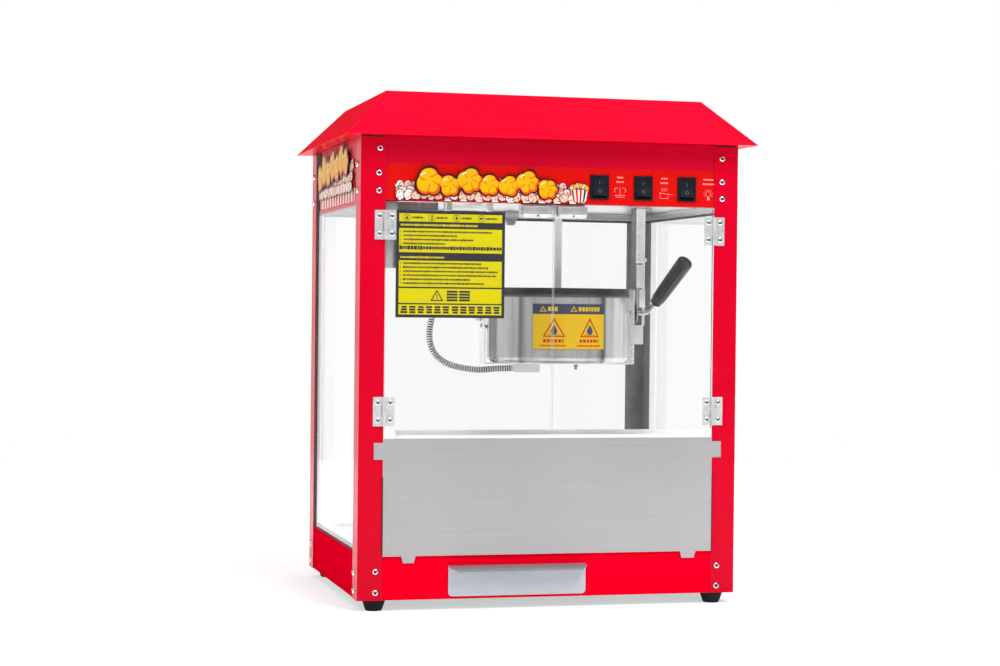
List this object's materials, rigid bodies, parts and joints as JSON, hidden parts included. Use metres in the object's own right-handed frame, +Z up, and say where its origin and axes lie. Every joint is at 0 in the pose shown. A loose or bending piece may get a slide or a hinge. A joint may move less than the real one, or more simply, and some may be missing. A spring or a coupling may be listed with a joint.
{
  "type": "popcorn machine",
  "caption": "Countertop popcorn machine: hip-roofed cabinet with glass sides and doors, hanging tilting kettle with driven stirrer, lidded pan, sifter floor and crumb drawer.",
  "frame": {"origin": "on the ground under the middle of the roof, level with the undersides of the feet", "axes": "+X to the right seen from the front, +Y to the rear, +Z up"},
  "size_m": [0.559, 0.429, 0.68],
  "materials": {
    "red_paint": "satin enamel",
    "brushed_plate": "brushed lengthways",
    "deck_steel": "mill",
    "drawer_steel": "satin",
    "polished_steel": "polished",
    "dark_steel": "dark satin",
    "zinc_plate": "bright zinc",
    "conduit_steel": "corrugated",
    "clear_glass": "clear",
    "lamp_glass": "frosted",
    "white_plastic": "gloss",
    "black_plastic": "satin",
    "grip_plastic": "satin",
    "black_rubber": "matte"
  },
  "bodies": {
    "cabinet": {"base_pan": "red_paint", "power_gland": "black_plastic", "front_left_foot": "black_rubber", "front_right_foot": "black_rubber", "rear_left_foot": "black_rubber", "rear_right_foot": "black_rubber", "floor_deck": "deck_steel", "sifter_screen": "deck_steel", "front_left_post": "red_paint", "front_right_post": "red_paint", "rear_left_post": "red_paint", "rear_right_post": "red_paint", "front_header": "red_paint", "header_band": "red_paint", "ceiling_plate": "brushed_plate", "roof": "red_paint", "left_glass": "clear_glass", "right_glass": "clear_glass", "rear_glass": "clear_glass", "left_lower_hinge_frame_leaf": "zinc_plate", "left_upper_hinge_frame_leaf": "zinc_plate", "right_lower_hinge_frame_leaf": "zinc_plate", "right_upper_hinge_frame_leaf": "zinc_plate", "door_catch": "white_plastic", "drawer_guide": "zinc_plate", "switch_1_housing": "black_plastic", "switch_2_housing": "black_plastic", "switch_3_housing": "black_plastic", "left_hanger": "zinc_plate", "right_hanger": "zinc_plate", "gear_motor": "zinc_plate", "lamp_holder": "white_plastic", "lamp_tube": "lamp_glass", "conduit": "conduit_steel"},
    "left_door": {"left_door_glass": "clear_glass", "left_lower_hinge_door_leaf": "zinc_plate", "left_upper_hinge_door_leaf": "zinc_plate", "left_strike_plate": "zinc_plate"},
    "right_door": {"right_door_glass": "clear_glass", "right_lower_hinge_door_leaf": "zinc_plate", "right_upper_hinge_door_leaf": "zinc_plate", "right_strike_plate": "zinc_plate"},
    "baffle": {"front_baffle": "brushed_plate"},
    "drawer": {"drawer_front": "drawer_steel", "drawer_tray": "drawer_steel"},
    "kettle": {"kettle_shell": "polished_steel", "kettle_pan": "polished_steel", "heater_ring": "dark_steel", "kettle_cradle": "zinc_plate", "terminal_box": "zinc_plate", "lid_bridge": "zinc_plate", "kettle_handle": "polished_steel", "handle_grip": "grip_plastic"},
    "front_lid_body": {"front_lid": "dark_steel"},
    "rear_lid_body": {"rear_lid": "dark_steel"},
    "stirrer_body": {"stirrer": "polished_steel"},
    "drive_body": {"drive_shaft": "polished_steel"},
    "rocker_1": {"switch_1_rocker": "black_plastic"},
    "rocker_2": {"switch_2_rocker": "black_plastic"},
    "rocker_3": {"switch_3_rocker": "black_plastic"}
  },
  "joints": [
    {"name": "left_door_swing", "type": "hinge", "parent": "cabinet", "child": "left_door", "pos_m": [-0.2255, -0.1963, 0.381], "axis": [0, 0, -1], "range_deg": [0, 165]},
    {"name": "right_door_swing", "type": "hinge", "parent": "cabinet", "child": "right_door", "pos_m": [0.2255, -0.1963, 0.381], "axis": [0, 0, 1], "range_deg": [0, 165]},
    {"name": "baffle_pull", "type": "slide", "parent": "cabinet", "child": "baffle", "axis": [0, -1, 0], "range_m": [0, 0.08]},
    {"name": "drawer_slide", "type": "slide", "parent": "cabinet", "child": "drawer", "axis": [0, -1, 0], "range_m": [0, 0.24]},
    {"name": "kettle_tilt", "type": "hinge", "parent": "cabinet", "child": "kettle", "pos_m": [0.062, 0, 0.391], "axis": [1, 0, 0], "range_deg": [0, 90], "deforming": ["conduit"]},
    {"name": "front_lid_hinge", "type": "hinge", "parent": "kettle", "child": "front_lid_body", "pos_m": [0.062, -0.0126, 0.4245], "axis": [-1, 0, 0], "range_deg": [0, 75]},
    {"name": "rear_lid_hinge", "type": "hinge", "parent": "kettle", "child": "rear_lid_body", "pos_m": [0.062, 0.0126, 0.4245], "axis": [1, 0, 0], "range_deg": [0, 75]},
    {"name": "stirrer_spin", "type": "hinge", "parent": "kettle", "child": "stirrer_body", "pos_m": [0.062, 0, 0.43], "axis": [0, 0, 1], "continuous": true},
    {"name": "drive_spin", "type": "hinge", "parent": "cabinet", "child": "drive_body", "pos_m": [0.062, 0, 0.54], "axis": [0, 0, 1], "continuous": true},
    {"name": "rocker_1_press", "type": "hinge", "parent": "cabinet", "child": "rocker_1", "pos_m": [0.0637, -0.1883, 0.5578], "axis": [1, 0, 0], "range_deg": [0, 16]},
    {"name": "rocker_2_press", "type": "hinge", "parent": "cabinet", "child": "rocker_2", "pos_m": [0.1248, -0.1883, 0.5578], "axis": [1, 0, 0], "range_deg": [0, 16]},
    {"name": "rocker_3_press", "type": "hinge", "parent": "cabinet", "child": "rocker_3", "pos_m": [0.1859, -0.1883, 0.5578], "axis": [1, 0, 0], "range_deg": [0, 16]}
  ],
  "couplings": [
    {"joint": "drive_spin", "follows": "stirrer_spin", "ratio": 1}
  ]
}
